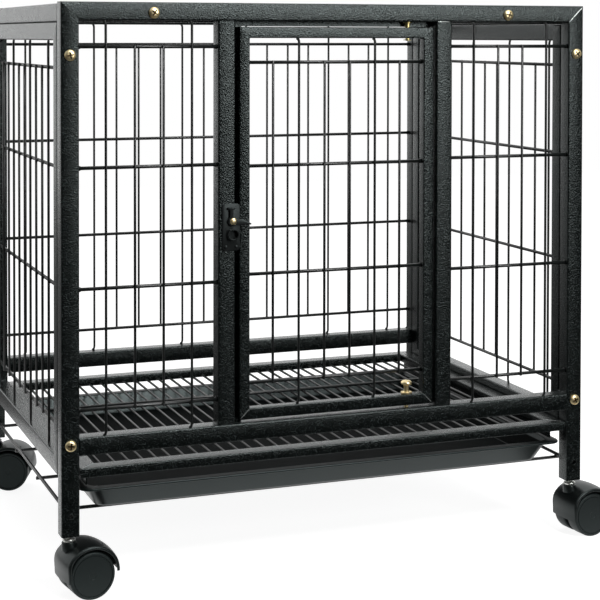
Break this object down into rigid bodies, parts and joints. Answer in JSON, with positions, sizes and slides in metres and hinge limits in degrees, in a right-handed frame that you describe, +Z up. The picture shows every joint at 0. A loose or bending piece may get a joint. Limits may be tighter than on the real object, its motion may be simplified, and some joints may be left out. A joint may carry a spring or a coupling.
{
  "type": "wire dog cage",
  "caption": "Rectangular wire dog cage on casters, with a pivoting front door, a latch, a slide-out floor grid and a slide-out tray.",
  "frame": {"origin": "on the floor, under the middle of the whole cage with its casters as the picture shows them", "axes": "+X to the right along the front, +Y from the front to the back, +Z up; the door faces -Y"},
  "size_m": [0.6616, 0.4864, 0.6143],
  "materials": {
    "hammertone_coat": "hammertone powder coat",
    "wire_coat": "semi-gloss powder coat",
    "brass": "brass plated",
    "zinc_plate": "zinc plated",
    "tray_plastic": "matte",
    "caster_nylon": "satin"
  },
  "bodies": {
    "cage": {"front_frame": "hammertone_coat", "back_frame": "hammertone_coat", "left_frame": "hammertone_coat", "right_frame": "hammertone_coat", "top_frame": "hammertone_coat", "front_left_mesh": "wire_coat", "front_right_mesh": "wire_coat", "back_mesh": "wire_coat", "left_mesh": "wire_coat", "right_mesh": "wire_coat", "top_mesh": "wire_coat", "tray_rack": "wire_coat", "grid_ledge_left": "hammertone_coat", "grid_ledge_right": "hammertone_coat", "screw_front_upper_left": "brass", "screw_front_upper_right": "brass", "screw_front_lower_left": "brass", "screw_front_lower_right": "brass", "screw_front_top_left": "brass", "screw_front_top_right": "brass", "screw_back_upper_left": "brass", "screw_back_upper_right": "brass", "screw_back_lower_left": "brass", "screw_back_lower_right": "brass", "screw_back_top_left": "brass", "screw_back_top_right": "brass", "upper_hinge_pin": "zinc_plate", "latch_plate": "zinc_plate", "latch_pin": "brass", "latch_spring": "zinc_plate", "caster_front_left_stem": "zinc_plate", "caster_front_right_stem": "zinc_plate", "caster_rear_left_stem": "zinc_plate", "caster_rear_right_stem": "zinc_plate"},
    "door": {"door_frame": "hammertone_coat", "door_mesh": "wire_coat"},
    "hinge_pin": {"lower_hinge_pin": "brass"},
    "latch": {"latch_hook": "zinc_plate"},
    "floor_grid": {"floor_grid_frame": "hammertone_coat", "floor_grid_wires": "wire_coat"},
    "tray": {"tray": "tray_plastic"},
    "caster_front_left": {"caster_front_left_hood": "caster_nylon", "caster_front_left_axle": "zinc_plate"},
    "caster_front_left_outer_wheel": {"caster_front_left_outer_wheel": "caster_nylon"},
    "caster_front_left_inner_wheel": {"caster_front_left_inner_wheel": "caster_nylon"},
    "caster_front_right": {"caster_front_right_hood": "caster_nylon", "caster_front_right_axle": "zinc_plate"},
    "caster_front_right_outer_wheel": {"caster_front_right_outer_wheel": "caster_nylon"},
    "caster_front_right_inner_wheel": {"caster_front_right_inner_wheel": "caster_nylon"},
    "caster_rear_left": {"caster_rear_left_hood": "caster_nylon", "caster_rear_left_axle": "zinc_plate"},
    "caster_rear_left_outer_wheel": {"caster_rear_left_outer_wheel": "caster_nylon"},
    "caster_rear_left_inner_wheel": {"caster_rear_left_inner_wheel": "caster_nylon"},
    "caster_rear_right": {"caster_rear_right_hood": "caster_nylon", "caster_rear_right_axle": "zinc_plate"},
    "caster_rear_right_outer_wheel": {"caster_rear_right_outer_wheel": "caster_nylon"},
    "caster_rear_right_inner_wheel": {"caster_rear_right_inner_wheel": "caster_nylon"}
  },
  "joints": [
    {"name": "door_hinge", "type": "hinge", "parent": "cage", "child": "door", "pos_m": [0.069, -0.21949, 0.1688], "axis": [0, 0, 1], "range_deg": [0, 110]},
    {"name": "hinge_pin_lift", "type": "slide", "parent": "door", "child": "hinge_pin", "axis": [0, 0, 1], "range_m": [0, 0.0085]},
    {"name": "latch_hinge", "type": "hinge", "parent": "cage", "child": "latch", "pos_m": [-0.139, -0.22901, 0.38325], "axis": [0, -1, 0], "range_deg": [0, 85]},
    {"name": "floor_grid_slide", "type": "slide", "parent": "cage", "child": "floor_grid", "axis": [0, -1, 0], "range_m": [0, 0.36]},
    {"name": "tray_slide", "type": "slide", "parent": "cage", "child": "tray", "axis": [0, -1, 0], "range_m": [0, 0.36]},
    {"name": "caster_front_left_swivel", "type": "hinge", "parent": "cage", "child": "caster_front_left", "pos_m": [-0.31283, -0.21949, 0.06485], "axis": [0, 0, 1], "continuous": true},
    {"name": "caster_front_left_outer_wheel_spin", "type": "hinge", "parent": "caster_front_left", "child": "caster_front_left_outer_wheel", "pos_m": [-0.29451, -0.21691, 0.02462], "axis": [-0.1392, 0.9903, 0], "continuous": true},
    {"name": "caster_front_left_inner_wheel_spin", "type": "hinge", "parent": "caster_front_left", "child": "caster_front_left_inner_wheel", "pos_m": [-0.29451, -0.21691, 0.02462], "axis": [-0.1392, 0.9903, 0], "continuous": true},
    {"name": "caster_front_right_swivel", "type": "hinge", "parent": "cage", "child": "caster_front_right", "pos_m": [0.27812, -0.21949, 0.06485], "axis": [0, 0, 1], "continuous": true},
    {"name": "caster_front_right_outer_wheel_spin", "type": "hinge", "parent": "caster_front_right", "child": "caster_front_right_outer_wheel", "pos_m": [0.29652, -0.21756, 0.02462], "axis": [-0.1045, 0.9945, 0], "continuous": true},
    {"name": "caster_front_right_inner_wheel_spin", "type": "hinge", "parent": "caster_front_right", "child": "caster_front_right_inner_wheel", "pos_m": [0.29652, -0.21756, 0.02462], "axis": [-0.1045, 0.9945, 0], "continuous": true},
    {"name": "caster_rear_left_swivel", "type": "hinge", "parent": "cage", "child": "caster_rear_left", "pos_m": [-0.31283, 0.20576, 0.06485], "axis": [0, 0, 1], "continuous": true},
    {"name": "caster_rear_left_outer_wheel_spin", "type": "hinge", "parent": "caster_rear_left", "child": "caster_rear_left_outer_wheel", "pos_m": [-0.29544, 0.19943, 0.02462], "axis": [0.342, 0.9397, 0], "continuous": true},
    {"name": "caster_rear_left_inner_wheel_spin", "type": "hinge", "parent": "caster_rear_left", "child": "caster_rear_left_inner_wheel", "pos_m": [-0.29544, 0.19943, 0.02462], "axis": [0.342, 0.9397, 0], "continuous": true},
    {"name": "caster_rear_right_swivel", "type": "hinge", "parent": "cage", "child": "caster_rear_right", "pos_m": [0.27812, 0.20576, 0.06485], "axis": [0, 0, 1], "continuous": true},
    {"name": "caster_rear_right_outer_wheel_spin", "type": "hinge", "parent": "caster_rear_right", "child": "caster_rear_right_outer_wheel", "pos_m": [0.29551, 0.21209, 0.02462], "axis": [-0.342, 0.9397, 0], "continuous": true},
    {"name": "caster_rear_right_inner_wheel_spin", "type": "hinge", "parent": "caster_rear_right", "child": "caster_rear_right_inner_wheel", "pos_m": [0.29551, 0.21209, 0.02462], "axis": [-0.342, 0.9397, 0], "continuous": true}
  ]
}
